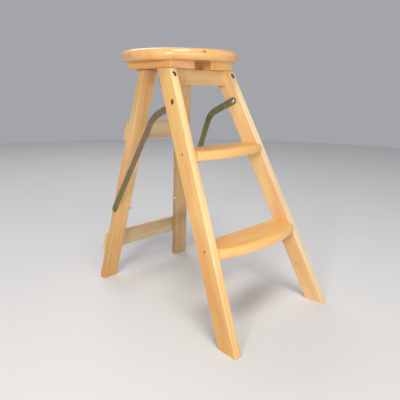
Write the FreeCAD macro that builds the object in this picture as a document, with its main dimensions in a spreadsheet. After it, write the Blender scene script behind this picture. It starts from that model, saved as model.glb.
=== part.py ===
# Folding step stool chair.
# A round wooden seat is hinged on two splayed wooden frames. The front frame carries two bowed
# treads and the rear frame two slats. Bent steel stays tie the frames together, so that
# everything folds at once.
# Millimetres, +Z up, treads towards -Y, left is -X. The origin is on the floor, under the
# middle of the space that the object takes up.
import FreeCAD, Part
import math
import os
import Sketcher

vector = FreeCAD.Vector
doc = FreeCAD.newDocument("StepStool")

# Driving sizes. Places along Y are measured from the seat's centre.
sheet = doc.addObject("Spreadsheet::Sheet", "Sizes")
driving = {
    "seatRadius": 150,
    "seatThickness": 26,
    "seatRim": 15,
    "rimBands": 5,
    "seatHeight": 620,
    "cleatInner": 28,
    "cleatWidth": 78,
    "cleatFront": 81.5,
    "cleatRear": 77.5,
    "cleatThickness": 16.5,
    "cleatBevel": 1.2,
    # front frame: lean from the vertical, place of the rails' backs and their section
    "frontLean": 25.9,
    "frontSet": 33.7,
    "frontSplay": 0.113,
    "railHalf": 105.5,
    "railWidth": 19.5,
    "railDepth": 46,
    # rear frame: the same, from the fronts of the legs
    "rearLean": 10.5,
    "rearSet": 44,
    "rearSplay": 0.132,
    "legHalf": 82,
    "legWidth": 43,
    "legDepth": 21,
    "topGap": 0.4,
    "edgeRounding": 2,
    # treads and the apron under the seat
    "treadThickness": 22,
    "treadBow": 420,
    "middleTop": 397.5,
    "lowerTop": 200.5,
    "noseRounding": 9,
    "endArris": 0.6,
    "apronDepth": 20,
    "apronBottom": 540,
    # slats on the backs of the rear legs, measured down the legs
    "slatHeight": 48,
    "slatThickness": 12,
    "upperSlat": 140,
    "lowerSlat": 460,
    "slatRounding": 2.5,
    # recesses of the hinge bolts in the rails' front faces, measured down the rails
    "hingeBoltDown": 37,
    "hingeBoltRecess": 6.2,
    "hingeBoltRecessDepth": 9,
    # stays, with their pivots measured down and into the frames
    "stayWidth": 17.5,
    "stayThickness": 2.4,
    "stayBend": 65,
    "stayHole": 3.3,
    "frontPivotDown": 97,
    "frontPivotIn": 27,
    "rearPivotDown": 376,
    "rearPivotIn": 9,
    "stayUpper": 96,
    "stayLower": 288,
    "stayAtFront": 93.1,
    "stayAtKnee": 99.5,
    "stayAtRear": 134.9,
    # bolts and rivets of the stays
    "boltRadius": 3,
    "boltBore": 3.05,
    "boltHead": 5.5,
    "boltHeadHeight": 2.5,
    "boltRoom": 0.9,
    "nutRadius": 5.6,
    "nutThickness": 4,
    "nutRecess": 6.5,
    "nutRecessDepth": 6,
    # hinges
    "hingeOffset": 3,
    "knuckle": 2.7,
    "leafThickness": 1.5,
    "pinRadius": 1.5,
    "pinBore": 1.55,
    "hingeGap": 0.3,
    "notchRoom": 0.5,
    "frontHingeWidth": 18,
    "railLeaf": 48,
    "cleatLeaf": 28,
    "rearHingeWidth": 38,
    "legLeaf": 22,
    "rearCleatLeaf": 8,
}
for row, (alias, number) in enumerate(driving.items(), 1):
    sheet.set("A%d" % row, alias)
    sheet.set("B%d" % row, str(number))
    sheet.setAlias("B%d" % row, alias)
doc.recompute()


class Size:
    """A number with the sheet formula that gives it. Angles are in degrees."""

    def __init__(self, value, text=None):
        self.value = float(value)
        self.text = text if text is not None else repr(value)

    def combine(self, other, sign, work, swap=False):
        other = other if isinstance(other, Size) else Size(other)
        first, second = (other, self) if swap else (self, other)
        return Size(work(first.value, second.value), "(%s %s %s)" % (first.text, sign, second.text))

    def __add__(self, other):
        return self.combine(other, "+", lambda a, b: a + b)

    def __radd__(self, other):
        return self.combine(other, "+", lambda a, b: a + b, True)

    def __sub__(self, other):
        return self.combine(other, "-", lambda a, b: a - b)

    def __rsub__(self, other):
        return self.combine(other, "-", lambda a, b: a - b, True)

    def __mul__(self, other):
        return self.combine(other, "*", lambda a, b: a * b)

    def __rmul__(self, other):
        return self.combine(other, "*", lambda a, b: a * b, True)

    def __truediv__(self, other):
        return self.combine(other, "/", lambda a, b: a / b)

    def __neg__(self):
        return Size(-self.value, "(-1 * %s)" % self.text)


def function(name, size):
    """A trigonometric function, an arcsine or a square root of a size."""
    if name == "sqrt":
        return Size(math.sqrt(size.value), "sqrt(%s)" % size.text)
    if name == "asin":
        return Size(math.degrees(math.asin(size.value)), "asin(%s)" % size.text)
    return Size(getattr(math, name)(math.radians(size.value)), "%s(%s)" % (name, size.text))


def cell(alias):
    return Size(driving[alias], "Sizes." + alias)


zero = Size(0, "0")
axisX = vector(1, 0, 0)
axisY = vector(0, 1, 0)
axisZ = vector(0, 0, 1)
fullTurn = 360
quarterTurn = Size(90, "90")
# lengths below this are taken as none, and cuts smaller than the least cut as failed
closeness = 0.01
leastCut = 1
parts = []
frontLeaves = []
rearLeaves = []
frontPins = []
rearPins = []


class Frame:
    """One leaning, splayed frame. Depth is measured square to it, away from the seat's middle."""

    def __init__(self, sign, name, half):
        self.sign = sign
        self.lean = cell(name + "Lean")
        self.set = cell(name + "Set")
        self.splay = cell(name + "Splay")
        self.half = cell(half)

    def down(self, height, depth):
        """Distance down the frame of a point at a height and a depth."""
        drop = underside - height
        return drop / function("cos", self.lean) + depth * function("tan", self.lean)

    def reach(self, height, depth):
        """Y of that point."""
        run = (underside - height) * function("tan", self.lean)
        return (self.set + run + depth / function("cos", self.lean)) * self.sign

    def outer(self, height, depth):
        """X of the frame's outer side at that point."""
        return self.half + self.splay * self.down(height, depth)

    def along(self, down, depth):
        """Y of a point given by its distance down the frame and its depth."""
        run = down * function("sin", self.lean) + depth * function("cos", self.lean)
        return (self.set + run) * self.sign

    def rise(self, down, depth):
        """Z of that point."""
        return underside - down * function("cos", self.lean) + depth * function("sin", self.lean)

    def point(self, x, down, depth):
        return vector(x, self.along(down, depth).value, self.rise(down, depth).value)

    def pivotDown(self, depth):
        """Distance down the frame of the hinge axis, one hinge offset under the cleats."""
        lift = depth * function("sin", self.lean)
        return (cell("hingeOffset") + lift) / function("cos", self.lean)


underside = cell("seatHeight") - cell("seatThickness") - cell("cleatThickness")
front = Frame(-1, "front", "railHalf")
rear = Frame(1, "rear", "legHalf")

# The rails' feet reach furthest forward and the legs' feet furthest back.
frontReach = -front.reach(zero, cell("railDepth"))
rearReach = rear.reach(zero, cell("legDepth"))
shift = (frontReach - rearReach) / 2


def place(item, y=zero, z=zero, turn=None, x=zero):
    """Moves an object by bound distances and turns it about X by a bound angle."""
    item.Placement = FreeCAD.Placement(
        vector(x.value, y.value + shift.value, z.value),
        FreeCAD.Rotation(axisX, turn.value if turn else 0))
    if x.text != "0":
        item.setExpression("Placement.Base.x", x.text)
    item.setExpression("Placement.Base.y", (y + shift).text)
    if z.text != "0":
        item.setExpression("Placement.Base.z", z.text)
    if turn:
        item.setExpression("Placement.Rotation.Angle", "%s * 1deg" % turn.text)


def newBody(label):
    body = doc.addObject("PartDesign::Body", label)
    body.Label = label
    return body


def newSketch(body, name, role, offset=None):
    """A sketch on one of the body's origin planes, moved along the plane's normal."""
    sketch = body.newObject("Sketcher::SketchObject", name)
    plane = next(item for item in body.Origin.OriginFeatures if item.Role == role)
    sketch.AttachmentSupport = (plane, [""])
    sketch.MapMode = "FlatFace"
    if offset is not None:
        sketch.AttachmentOffset = FreeCAD.Placement(vector(0, 0, offset.value), FreeCAD.Rotation())
        sketch.setExpression("AttachmentOffset.Base.z", offset.text)
    return sketch


def pin(sketch, index, position, x, y):
    """Ties one point of a sketch to bound distances from the sketch's origin."""
    for kind, size, axis in (("DistanceX", x, -2), ("DistanceY", y, -1)):
        if size.text == "0":
            sketch.addConstraint(Sketcher.Constraint("PointOnObject", index, position, axis))
        else:
            rule = Sketcher.Constraint(kind, -1, 1, index, position, size.value)
            number = sketch.addConstraint(rule)
            sketch.setExpression("Constraints[%d]" % number, size.text)


def drawOutline(sketch, corners):
    """A closed outline. A corner with a third value starts an arc of that radius, turning left."""
    count = len(corners)
    turn = 0
    for corner, following in zip(corners, corners[1:] + corners[:1]):
        turn += corner[0].value * following[1].value - corner[1].value * following[0].value
    if turn < 0:
        corners = corners[::-1]
    first = sketch.GeometryCount
    radii = {}
    for i, corner in enumerate(corners):
        start = vector(corner[0].value, corner[1].value, 0)
        following = corners[(i + 1) % count]
        end = vector(following[0].value, following[1].value, 0)
        if len(corner) == 3:
            radius = corner[2]
            chord = end - start
            across = math.sqrt(max(radius.value ** 2 - (chord.Length / 2) ** 2, 0))
            middle = (start + end) * 0.5 + vector(-chord.y, chord.x, 0).normalize() * across
            startAngle = math.atan2(start.y - middle.y, start.x - middle.x)
            endAngle = math.atan2(end.y - middle.y, end.x - middle.x)
            circle = Part.Circle(middle, axisZ, radius.value)
            index = sketch.addGeometry(Part.ArcOfCircle(circle, startAngle, endAngle))
            radii[index] = radius
        else:
            sketch.addGeometry(Part.LineSegment(start, end))
    for i in range(count):
        following = first + (i + 1) % count
        sketch.addConstraint(Sketcher.Constraint("Coincident", first + i, 2, following, 1))
    for i, corner in enumerate(corners):
        pin(sketch, first + i, 1, corner[0], corner[1])
    for index, radius in radii.items():
        number = sketch.addConstraint(Sketcher.Constraint("Radius", index, radius.value))
        sketch.setExpression("Constraints[%d]" % number, radius.text)
    return sketch


def drawCircle(sketch, x, y, radius):
    circle = Part.Circle(vector(x.value, y.value, 0), axisZ, radius.value)
    index = sketch.addGeometry(circle)
    pin(sketch, index, 3, x, y)
    number = sketch.addConstraint(Sketcher.Constraint("Radius", index, radius.value))
    sketch.setExpression("Constraints[%d]" % number, radius.text)
    return sketch


def addPad(body, sketch, length, both=False, back=False):
    pad = body.newObject("PartDesign::Pad", sketch.Name + "Pad")
    pad.Profile = sketch
    pad.setExpression("Length", length.text)
    pad.Midplane = both
    pad.Reversed = back
    sketch.Visibility = False
    return pad


def addPocket(body, sketch, length=None, back=False, slope=None):
    """Cuts a sketch into the body, right through where no length is given, and checks that it cut."""
    doc.recompute()
    before = body.Shape.Volume
    pocket = body.newObject("PartDesign::Pocket", sketch.Name + "Pocket")
    pocket.Profile = sketch
    if length is None:
        pocket.setExpression("Length", (cell("seatRadius") * 4).text)
        pocket.Midplane = True
    else:
        pocket.setExpression("Length", length.text)
        pocket.Reversed = back
    if slope:
        followSlope(pocket, *slope)
    doc.recompute()
    if body.Shape.Volume > before - leastCut:
        raise RuntimeError("%s cuts nothing" % pocket.Name)
    return pocket


def addFillet(body, feature, radius, chosen):
    """Rounds the edges of the body's latest feature for which chosen(edge) is true."""
    doc.recompute()
    edges = ["Edge%d" % (i + 1) for i, edge in enumerate(feature.Shape.Edges) if chosen(edge)]
    fillet = body.newObject("PartDesign::Fillet", feature.Name + "Round")
    fillet.Base = (feature, edges)
    fillet.setExpression("Radius", radius.text)
    doc.recompute()
    return fillet


def runsAlong(direction):
    """Chooses straight edges that run along a direction, within about 11 degrees."""
    unit = vector(*direction).normalize()
    nearlyParallel = 0.98

    def chosen(edge):
        ends = edge.Vertexes
        if len(ends) < 2:
            return False
        chord = ends[1].Point - ends[0].Point
        return chord.Length > 1 and abs(chord.normalize().dot(unit)) > nearlyParallel
    return chosen


def addChamfer(body, feature, size, chosen):
    """Bevels the edges of the body's latest feature for which chosen(edge) is true."""
    doc.recompute()
    edges = ["Edge%d" % (i + 1) for i, edge in enumerate(feature.Shape.Edges) if chosen(edge)]
    chamfer = body.newObject("PartDesign::Chamfer", feature.Name + "Bevel")
    chamfer.Base = (feature, edges)
    chamfer.setExpression("Size", size.text)
    doc.recompute()
    return chamfer


def addLoft(body, lower, upper):
    loft = body.newObject("PartDesign::AdditiveLoft", body.Name + "Loft")
    loft.Profile = lower
    loft.Sections = [upper]
    loft.Ruled = True
    lower.Visibility = False
    upper.Visibility = False
    return loft


def followSlope(feature, frame, side, way):
    """Makes a pad or pocket run along a side of a frame, up for way 1 and down for way -1."""
    slope = (frame.splay * (-side * way), function("sin", frame.lean) * (-frame.sign * way),
             function("cos", frame.lean) * way)
    feature.UseCustomVector = True
    feature.Direction = vector(*[part.value for part in slope])
    for axis, part in zip("xyz", slope):
        feature.setExpression("Direction." + axis, part.text)
    feature.AlongSketchNormal = True
    return [part.value for part in slope]


# Rails and legs: a level section at the floor, carried up along the frame's slope
def makeUpright(label, frame, side, width, depth):
    body = newBody(label)
    corners = []
    for inset, deep in ((zero, zero), (zero, depth), (width, depth), (width, zero)):
        x = (frame.outer(zero, deep) - inset) * side
        corners.append((x, frame.reach(zero, deep)))
    sketch = drawOutline(newSketch(body, label + "Foot", "XY_Plane"), corners)
    pad = addPad(body, sketch, underside - cell("topGap"))
    slope = followSlope(pad, frame, side, 1)
    addFillet(body, pad, cell("edgeRounding"), runsAlong(slope))
    place(body)
    parts.append(body)
    return body


def makeRail(label, side):
    body = makeUpright(label, front, side, cell("railWidth"), cell("railDepth"))
    down = cell("frontPivotDown")
    deep = cell("frontPivotIn")
    y = front.along(down, deep)
    z = front.rise(down, deep)
    bore = drawCircle(newSketch(body, label + "Bore", "YZ_Plane"), y, z, cell("boltBore"))
    addPocket(body, bore)
    face = cell("railHalf") + cell("frontSplay") * down
    floor = (face - cell("nutRecessDepth")) * side
    recess = newSketch(body, label + "Recess", "YZ_Plane", floor)
    drawCircle(recess, y, z, cell("nutRecess"))
    addPocket(body, recess, cell("nutRecessDepth") * 2, back=side > 0)
    addHingeBoltRecess(body, label, side)


# The recess is drawn on the rail's front face, which leans with the frame.
def addHingeBoltRecess(body, label, side):
    sine = function("sin", front.lean)
    cosine = function("cos", front.lean)
    down = cell("hingeBoltDown")
    offset = front.set * cosine + underside * sine + cell("railDepth")
    up = underside * cosine - front.set * sine - down
    across = (front.half + front.splay * down - cell("railWidth") / 2) * side
    face = newSketch(body, label + "HingeBolt", "XZ_Plane")
    face.AttachmentOffset = FreeCAD.Placement(
        vector(0, (offset * sine).value, (offset * cosine).value),
        FreeCAD.Rotation(axisX, -front.lean.value))
    face.setExpression("AttachmentOffset.Base.y", (offset * sine).text)
    face.setExpression("AttachmentOffset.Base.z", (offset * cosine).text)
    face.setExpression("AttachmentOffset.Rotation.Angle", "%s * 1deg" % (-front.lean).text)
    drawCircle(face, across, up, cell("hingeBoltRecess"))
    addPocket(body, face, cell("hingeBoltRecessDepth"))


def makeLeg(label, side):
    makeUpright(label, rear, side, cell("legWidth"), cell("legDepth"))


# Treads: boards between the rails. The front edge is one wide arc between the rails' front
# corners at the underside, and its upper edge is rounded.
def railFace(y, height):
    """X of a rail's inner face at a place and a height."""
    drop = (underside - height) * function("cos", front.lean)
    down = drop - (y + front.set) * function("sin", front.lean)
    return cell("railHalf") - cell("railWidth") + front.splay * down


def makeTread(label, topHeight):
    body = newBody(label)
    bottomHeight = topHeight - cell("treadThickness")
    bow = cell("treadBow")
    back = front.reach(topHeight, zero)
    corner = front.reach(bottomHeight, cell("railDepth"))
    wide = railFace(corner, bottomHeight)
    nose = corner - bow + function("sqrt", bow * bow - wide * wide)
    corners = [(-wide, back), (-wide, corner, bow), (wide, corner), (wide, back)]
    sketch = drawOutline(newSketch(body, label + "Plan", "XY_Plane", bottomHeight), corners)
    pad = addPad(body, sketch, cell("treadThickness"))

    def frontEdge(edge):
        box = edge.BoundBox
        return box.ZMin > topHeight.value - closeness and box.YMax < corner.value + closeness

    addFillet(body, pad, cell("noseRounding"), frontEdge)
    # the back edge and the ends are bevelled to lie flush with the rails
    room = cell("treadThickness")
    cuts = [(0, [(-wide - room, back), (wide + room, back), (wide + room, back + room),
                 (-wide - room, back + room)])]
    for side in (-1, 1):
        near = back + room
        far = nose - room
        cuts.append((side, [(railFace(near, topHeight) * side, near),
                            (railFace(far, topHeight) * side, far),
                            ((wide + room) * side, far), ((wide + room) * side, near)]))
    for number, (side, region) in enumerate(cuts):
        trim = newSketch(body, "%sTrim%d" % (label, number), "XY_Plane", topHeight)
        drawOutline(trim, region)
        latest = addPocket(body, trim, cell("treadThickness") * 2, slope=(front, side, -1))

    def endEdge(edge):
        box = edge.BoundBox
        return box.ZMin > topHeight.value - closeness and box.YLength > box.XLength * 2

    # a fine bevel at each end keeps the level top clear of the rails, which lean in over it
    addChamfer(body, latest, cell("endArris"), endEdge)
    place(body)
    parts.append(body)


def makeApron(label):
    body = newBody(label)
    top = underside - cell("topGap")
    sketches = []
    for name, height in (("Under", cell("apronBottom")), ("Top", top)):
        back = front.reach(height, zero)
        face = front.reach(height, cell("apronDepth"))
        corners = [(-railFace(face, height), face), (railFace(face, height), face),
                   (railFace(back, height), back), (-railFace(back, height), back)]
        sketch = newSketch(body, label + name, "XY_Plane", height)
        sketches.append(drawOutline(sketch, corners))
    addLoft(body, *sketches)
    place(body)
    parts.append(body)


# Slats: flat boards on the backs of the rear legs, with ends flush with the legs' outer sides
def makeSlat(label, down):
    body = newBody(label)
    low = down + cell("slatHeight")
    corners = []
    for reached, side in ((down, -1), (low, -1), (low, 1), (down, 1)):
        corners.append(((rear.half + rear.splay * reached) * side, -reached))
    sketch = drawOutline(newSketch(body, label + "Face", "XZ_Plane"), corners)
    pad = addPad(body, sketch, cell("slatThickness"), back=True)
    back = cell("slatThickness").value

    def outerEdge(edge):
        box = edge.BoundBox
        return box.YMin > back - closeness

    addFillet(body, pad, cell("slatRounding"), outerEdge)
    deep = cell("legDepth")
    place(body, rear.along(zero, deep), rear.rise(zero, deep), rear.lean)
    parts.append(body)


# Seat: a round board with a rounded rim, on two cleats that run from front to back. The rim is
# an arc in section, turned in a few narrow bands.
def makeSeat(label):
    body = newBody(label)
    rim = cell("seatRim")
    half = cell("seatThickness") / 2
    middle = cell("seatHeight") - half
    spread = function("asin", half / rim)
    bands = driving["rimBands"]
    # an odd number of bands, so that the widest one stands upright at the seat's radius
    centre = cell("seatRadius") - rim * function("cos", spread * (1 / bands))
    corners = [(zero, middle - half)]
    for band in range(bands + 1):
        angle = spread * (2 * band / bands - 1)
        corners.append((centre + rim * function("cos", angle),
                        middle + rim * function("sin", angle)))
    corners.append((zero, middle + half))
    sketch = drawOutline(newSketch(body, label + "Profile", "XZ_Plane"), corners)
    turned = body.newObject("PartDesign::Revolution", label + "Turned")
    turned.Profile = sketch
    turned.ReferenceAxis = (sketch, ["V_Axis"])
    turned.Angle = fullTurn
    sketch.Visibility = False
    place(body)
    parts.append(body)


def makeCleat(label, side):
    body = newBody(label)
    inner = cell("cleatInner") * side
    outer = (cell("cleatInner") + cell("cleatWidth")) * side
    corners = [(inner, -cell("cleatFront")), (outer, -cell("cleatFront")),
               (outer, cell("cleatRear")), (inner, cell("cleatRear"))]
    sketch = drawOutline(newSketch(body, label + "Plan", "XY_Plane"), corners)
    pad = addPad(body, sketch, cell("cleatThickness"))
    addChamfer(body, pad, cell("cleatBevel"), lambda edge: edge.BoundBox.ZMax < closeness)
    place(body, zero, underside)
    parts.append(body)


# Hinges: two leaves with interleaved knuckles on one pin. A leaf's own axes have the pin along X
# and the wood one hinge offset away on the -Y side.
def makeLeaf(label, width, reach, direction, ends, x, y, turn, lean=zero):
    """direction is 1 or -1 along Z; ends is true for the leaf with the two end knuckles."""
    body = newBody(label)
    half = width / 2
    inner = width / 6
    gap = cell("hingeGap") / 2
    notch = (cell("hingeOffset") + cell("notchRoom")) * direction
    tip = reach * direction
    drift = lean * reach
    if ends:
        step = inner + gap
        plan = [(-half, zero), (-half + drift, tip), (half + drift, tip), (half, zero),
                (step, zero), (step, notch), (-step, notch), (-step, zero)]
        spans = [(-half, -step), (step, half)]
    else:
        step = inner - gap
        plan = [(-step, zero), (-step, notch), (-half, notch), (-half + drift, tip),
                (half + drift, tip), (half, notch), (step, notch), (step, zero)]
        spans = [(-step, step)]
    sketch = drawOutline(newSketch(body, label + "Plate", "XZ_Plane", cell("hingeOffset")), plan)
    addPad(body, sketch, cell("leafThickness"), back=True)
    for i, (low, high) in enumerate(spans):
        section = newSketch(body, "%sKnuckle%d" % (label, i), "YZ_Plane", low)
        drawCircle(section, zero, zero, cell("knuckle"))
        addPad(body, section, high - low)
    bore = drawCircle(newSketch(body, label + "Bore", "YZ_Plane"), zero, zero, cell("pinBore"))
    addPocket(body, bore)
    place(body, y, underside - cell("hingeOffset"), turn, x)
    return body


def makeHinges(name, side):
    level = -quarterTurn
    deep = -cell("hingeOffset")
    down = front.pivotDown(deep)
    x = (cell("railHalf") - cell("railWidth") / 2 + front.splay * down) * side
    y = front.along(down, deep)
    width = cell("frontHingeWidth")
    parts.append(makeLeaf(name + "_rail_hinge_leaf", width, cell("railLeaf"), -1, False, x, y,
                          -front.lean, front.splay * side))
    frontLeaves.append(makeLeaf(name + "FrontLeaf", width, cell("cleatLeaf"), 1, True, x, y, level))
    frontPins.append(makePin(name + "FrontPin", width, x, y))
    deep = cell("legDepth") + cell("hingeOffset")
    down = rear.pivotDown(deep)
    x = (cell("legHalf") - cell("legWidth") / 2 + rear.splay * down) * side
    y = rear.along(down, deep)
    width = cell("rearHingeWidth")
    parts.append(makeLeaf(name + "_leg_hinge_leaf", width, cell("legLeaf"), -1, False, x, y,
                          rear.lean, rear.splay * side))
    rearLeaves.append(makeLeaf(name + "RearLeaf", width, cell("rearCleatLeaf"), 1, True, x, y,
                               level))
    rearPins.append(makePin(name + "RearPin", width, x, y))


def makePin(name, width, x, y):
    rod = doc.addObject("Part::Cylinder", name)
    rod.setExpression("Radius", cell("pinRadius").text)
    rod.setExpression("Height", width.text)
    start = x - width / 2
    rod.Placement = FreeCAD.Placement(
        vector(start.value, y.value + shift.value, (underside - cell("hingeOffset")).value),
        FreeCAD.Rotation(axisY, quarterTurn.value))
    rod.setExpression("Placement.Base.x", start.text)
    rod.setExpression("Placement.Base.y", (y + shift).text)
    rod.setExpression("Placement.Base.z", (underside - cell("hingeOffset")).text)
    return rod


def makeGroup(label, items):
    group = doc.addObject("Part::Compound", label)
    group.Label = label
    group.Links = items
    parts.append(group)


# Stays: flat steel bent in its own plane, with an eye at each end. The flat lies in the plane
# through its two pivots and its knee, so that it clears the rail inside and the leg outside.
def kneePoint(side):
    """The pivots and the knee, from the two arm lengths seen from the side."""
    start = front.point(cell("stayAtFront").value * side, cell("frontPivotDown"),
                        cell("frontPivotIn"))
    end = rear.point(cell("stayAtRear").value * side, cell("rearPivotDown"), cell("rearPivotIn"))
    run = end.y - start.y
    fall = start.z - end.z
    span = math.hypot(run, fall)
    upper = cell("stayUpper").value
    lower = cell("stayLower").value
    lift = math.acos((upper ** 2 + span ** 2 - lower ** 2) / (2 * upper * span))
    slope = math.atan2(fall, run) - lift
    knee = vector(cell("stayAtKnee").value * side, start.y + upper * math.cos(slope),
                  start.z - upper * math.sin(slope))
    return start, knee, end


def makeStay(label, side):
    start, knee, end = kneePoint(side)
    along = (knee - start).normalize()
    onward = (end - knee).normalize()
    normal = onward.cross(along).normalize()
    across = normal.cross(along)
    turn = math.degrees(along.getAngle(onward))
    upper = Size((knee - start).Length)
    lower = Size((end - knee).Length)
    half = cell("stayWidth") / 2
    bevel = half * math.tan(math.radians(turn / 2))
    ahead = math.cos(math.radians(turn))
    aside = math.sin(math.radians(turn))
    body = newBody(label)
    # the knee is at (upper, 0) and the lower arm turns towards -Y
    endX = upper + lower * ahead
    endY = -lower * aside
    corners = [(zero, half), (zero, -half),
               (upper - bevel, -half), (endX - half * aside, endY - half * ahead),
               (endX + half * aside, endY + half * ahead), (upper + bevel, half)]
    sketch = drawOutline(newSketch(body, label + "Bar", "XY_Plane"), corners)
    pad = addPad(body, sketch, cell("stayThickness"), both=True)
    kneeAt = vector(upper.value, 0, 0)

    def kneeEdge(way):
        """Chooses the knee's upright edge inside the bend, for way -1, or outside it."""
        def chosen(edge):
            box = edge.BoundBox
            upright = box.ZLength > 1 and max(box.XLength, box.YLength) < closeness
            near = (box.Center - kneeAt).Length < 2 * half.value
            return upright and near and box.Center.y * way > 0
        return chosen

    bent = addFillet(body, pad, cell("stayBend") - half, kneeEdge(-1))
    addFillet(body, bent, cell("stayBend") + half, kneeEdge(1))
    for name, x, y in (("UpperEye", zero, zero), ("LowerEye", endX, endY)):
        eye = drawCircle(newSketch(body, label + name, "XY_Plane"), x, y, half)
        addPad(body, eye, cell("stayThickness"), both=True)
    for name, x, y in (("UpperHole", zero, zero), ("LowerHole", endX, endY)):
        hole = drawCircle(newSketch(body, label + name, "XY_Plane"), x, y, cell("stayHole"))
        addPocket(body, hole)
    matrix = FreeCAD.Matrix(
        along.x, across.x, normal.x, start.x,
        along.y, across.y, normal.y, start.y + shift.value,
        along.z, across.z, normal.z, start.z,
        0, 0, 0, 1)
    body.Placement = FreeCAD.Placement(matrix)
    parts.append(body)


def makeTurned(label, profile, side, y, z):
    """A body turned about an axis along X, from corners of (distance outwards, radius)."""
    body = newBody(label)
    corners = [(outward * side, radius) for outward, radius in profile]
    sketch = drawOutline(newSketch(body, label + "Profile", "XY_Plane"), corners)
    turned = body.newObject("PartDesign::Revolution", label + "Turned")
    turned.Profile = sketch
    turned.ReferenceAxis = (sketch, ["H_Axis"])
    turned.Angle = fullTurn
    sketch.Visibility = False
    place(body, y, z)
    return body


def makeStayBolt(label, side):
    """A head inside the stay, with its shank through the rail to the nut."""
    down = cell("frontPivotDown")
    deep = cell("frontPivotIn")
    seat = cell("stayAtFront") - cell("stayThickness") / 2 - cell("boltRoom")
    end = cell("railHalf") + cell("frontSplay") * down - cell("nutRecessDepth")
    head = cell("boltHead")
    tip = seat - cell("boltHeadHeight")
    profile = [(tip, zero), (tip, head), (seat, head), (seat, cell("boltRadius")),
               (end, cell("boltRadius")), (end, zero)]
    return makeTurned(label, profile, side, front.along(down, deep), front.rise(down, deep))


def makeNut(label, side):
    down = cell("frontPivotDown")
    deep = cell("frontPivotIn")
    start = cell("railHalf") + cell("frontSplay") * down - cell("nutRecessDepth")
    end = start + cell("nutThickness")
    profile = [(start, zero), (end, zero), (end, cell("nutRadius")),
               (start, cell("nutRadius"))]
    return makeTurned(label, profile, side, front.along(down, deep), front.rise(down, deep))


def makeStayRivet(label, side):
    """The stay's lower stud, with its head outside and its end just clear of the leg."""
    down = cell("rearPivotDown")
    deep = cell("rearPivotIn")
    face = cell("legHalf") + cell("rearSplay") * down
    start = face + cell("boltRoom")
    seat = cell("stayAtRear") + cell("stayThickness") / 2 + cell("boltRoom")
    tip = seat + cell("boltHeadHeight")
    head = cell("boltHead")
    profile = [(start, zero), (start, cell("boltRadius")), (seat, cell("boltRadius")),
               (seat, head), (tip, head), (tip, zero)]
    body = makeTurned(label, profile, side, rear.along(down, deep), rear.rise(down, deep))
    parts.append(body)


makeSeat("seat_top")
makeTread("middle_tread", cell("middleTop"))
makeTread("lower_tread", cell("lowerTop"))
makeApron("front_apron")
makeSlat("upper_rear_slat", cell("upperSlat"))
makeSlat("lower_rear_slat", cell("lowerSlat"))
bolts = []
nuts = []
for name, side in (("left", -1), ("right", 1)):
    makeRail(name + "_front_rail", side)
    makeLeg(name + "_rear_leg", side)
    makeCleat(name + "_cleat", side)
    makeHinges(name, side)
    makeStay(name + "_stay", side)
    bolts.append(makeStayBolt(name + "StayBolt", side))
    makeStayRivet(name + "_stay_rivet", side)
    nuts.append(makeNut(name + "StayNut", side))
makeGroup("stay_bolts", bolts)
makeGroup("stay_bolt_nuts", nuts)
makeGroup("front_cleat_leaves", frontLeaves)
makeGroup("rear_cleat_leaves", rearLeaves)
makeGroup("front_hinge_pins", frontPins)
makeGroup("rear_hinge_pins", rearPins)
doc.recompute()

# Every object is checked before anything is written.
for item in doc.Objects:
    if "Invalid" in item.State or "Error" in item.State:
        raise RuntimeError("%s failed: %s" % (item.Name, item.State))
for item in parts:
    if item.Shape.isNull() or not item.Shape.isValid():
        raise RuntimeError("%s has no valid shape" % item.Label)

os.makedirs("parts", exist_ok=True)
for item in parts:
    item.Shape.exportStep("parts/%s.step" % item.Label)
whole = Part.makeCompound([item.Shape for item in parts]).BoundBox
print("%d parts, %.1f x %.1f x %.1f mm" % (len(parts), whole.XLength, whole.YLength, whole.ZLength))
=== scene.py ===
# Folding step stool chair: finished surfaces, materials, light and camera, in metres.
import math
import bpy
import numpy as np
from mathutils import Matrix, Vector


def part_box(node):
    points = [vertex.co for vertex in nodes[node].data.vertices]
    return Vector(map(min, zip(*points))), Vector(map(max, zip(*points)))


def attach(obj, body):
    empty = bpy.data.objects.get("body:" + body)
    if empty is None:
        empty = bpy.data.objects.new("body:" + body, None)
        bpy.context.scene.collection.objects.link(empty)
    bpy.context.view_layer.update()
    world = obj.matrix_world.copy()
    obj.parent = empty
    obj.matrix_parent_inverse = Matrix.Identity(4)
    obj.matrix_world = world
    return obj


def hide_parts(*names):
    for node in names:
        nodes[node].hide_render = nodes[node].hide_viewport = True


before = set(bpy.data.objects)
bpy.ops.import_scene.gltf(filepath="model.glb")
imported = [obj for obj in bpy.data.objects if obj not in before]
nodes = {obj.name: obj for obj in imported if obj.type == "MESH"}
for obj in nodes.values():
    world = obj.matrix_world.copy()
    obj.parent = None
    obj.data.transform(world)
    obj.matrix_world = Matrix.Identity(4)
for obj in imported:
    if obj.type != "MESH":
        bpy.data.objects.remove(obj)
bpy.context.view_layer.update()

scene = bpy.context.scene
sides = (("left", -1), ("right", 1))

# Where the two frames lie. Depth is square to a frame, away from the seat's middle. Each upright
# is wide across the stool and deep along the depth; half is the half width at the top.
seatLow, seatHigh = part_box("seat_top")
seatY = (seatLow.y + seatHigh.y) / 2
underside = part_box("left_cleat")[0].z
frontFrame = {"lean": 25.9, "set": 0.0337, "splay": 0.113, "half": 0.1055, "way": -1,
              "wide": 0.0195, "deep": 0.046}
rearFrame = {"lean": 10.5, "set": 0.044, "splay": 0.132, "half": 0.082, "way": 1,
             "wide": 0.043, "deep": 0.021}


# point = (x, set + down sin(lean) + depth cos(lean), underside - down cos(lean) + depth sin(lean))
def framePoint(sizes, x, down, depth):
    lean = math.radians(sizes["lean"])
    run = sizes["set"] + down * math.sin(lean) + depth * math.cos(lean)
    return Vector((x, seatY + sizes["way"] * run,
                   underside - down * math.cos(lean) + depth * math.sin(lean)))


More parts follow.
